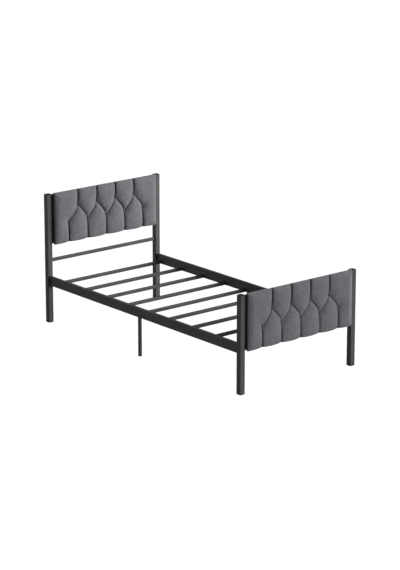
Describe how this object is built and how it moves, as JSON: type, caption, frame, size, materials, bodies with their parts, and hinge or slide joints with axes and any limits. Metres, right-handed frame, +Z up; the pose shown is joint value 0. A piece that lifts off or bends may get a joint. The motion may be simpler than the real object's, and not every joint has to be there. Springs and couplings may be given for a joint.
{
  "type": "metal bed frame",
  "caption": "Black metal bed frame with a slatted base between flat side rails, and a tufted grey fabric headboard and footboard set between square posts.",
  "frame": {"origin": "bottom centre of the whole frame, on the floor", "axes": "+Y from foot to head, along the bed; +Z up; +X to the right for a person at the foot looking to the head"},
  "size_m": [1.01, 2.1706, 0.945],
  "materials": {
    "black_metal": "black satin powder coat",
    "slat_metal": "black satin powder coat",
    "black_plastic": "moulded, lightly textured",
    "dark_fasteners": "black oxide",
    "tufted_fabric": "woven upholstery cloth over foam, channel tufted",
    "backing_board": "plywood, covered behind by dust cloth"
  },
  "bodies": {
    "root": {"foot_cross_tube_lower": "black_metal", "foot_cross_tube_upper": "black_metal", "foot_post_cap_left": "black_plastic", "foot_post_cap_right": "black_plastic", "foot_post_glide_left": "black_plastic", "foot_post_glide_right": "black_plastic", "foot_post_left": "black_metal", "foot_post_right": "black_metal", "footboard_backing": "backing_board", "footboard_pad": "tufted_fabric", "footboard_screw_lower_left": "dark_fasteners", "footboard_screw_lower_right": "dark_fasteners", "footboard_screw_upper_left": "dark_fasteners", "footboard_screw_upper_right": "dark_fasteners", "head_cross_tube_lower": "black_metal", "head_cross_tube_upper": "black_metal", "head_crossbar": "black_metal", "head_post_cap_left": "black_plastic", "head_post_cap_right": "black_plastic", "head_post_glide_left": "black_plastic", "head_post_glide_right": "black_plastic", "head_post_left": "black_metal", "head_post_right": "black_metal", "headboard_backing": "backing_board", "headboard_pad": "tufted_fabric", "headboard_screw_lower_left": "dark_fasteners", "headboard_screw_lower_right": "dark_fasteners", "headboard_screw_upper_left": "dark_fasteners", "headboard_screw_upper_right": "dark_fasteners", "mid_leg_glide_left": "black_plastic", "mid_leg_glide_right": "black_plastic", "mid_leg_left": "black_metal", "mid_leg_right": "black_metal", "rail_bolt_foot_left": "dark_fasteners", "rail_bolt_foot_right": "dark_fasteners", "rail_bolt_head_left": "dark_fasteners", "rail_bolt_head_right": "dark_fasteners", "rail_spigot_foot_left": "black_metal", "rail_spigot_foot_right": "black_metal", "rail_spigot_head_left": "black_metal", "rail_spigot_head_right": "black_metal", "rail_splice_sleeve_left": "black_metal", "rail_splice_sleeve_right": "black_metal", "side_rail_foot_left": "black_metal", "side_rail_foot_right": "black_metal", "side_rail_head_left": "black_metal", "side_rail_head_right": "black_metal", "slat_1": "slat_metal", "slat_2": "slat_metal", "slat_3": "slat_metal", "slat_4": "slat_metal", "slat_5": "slat_metal", "slat_6": "slat_metal", "slat_7": "slat_metal", "slat_8": "slat_metal", "slat_9": "slat_metal", "splice_bolt_foot_left": "dark_fasteners", "splice_bolt_foot_right": "dark_fasteners", "splice_bolt_head_left": "dark_fasteners", "splice_bolt_head_right": "dark_fasteners"}
  },
  "joints": []
}
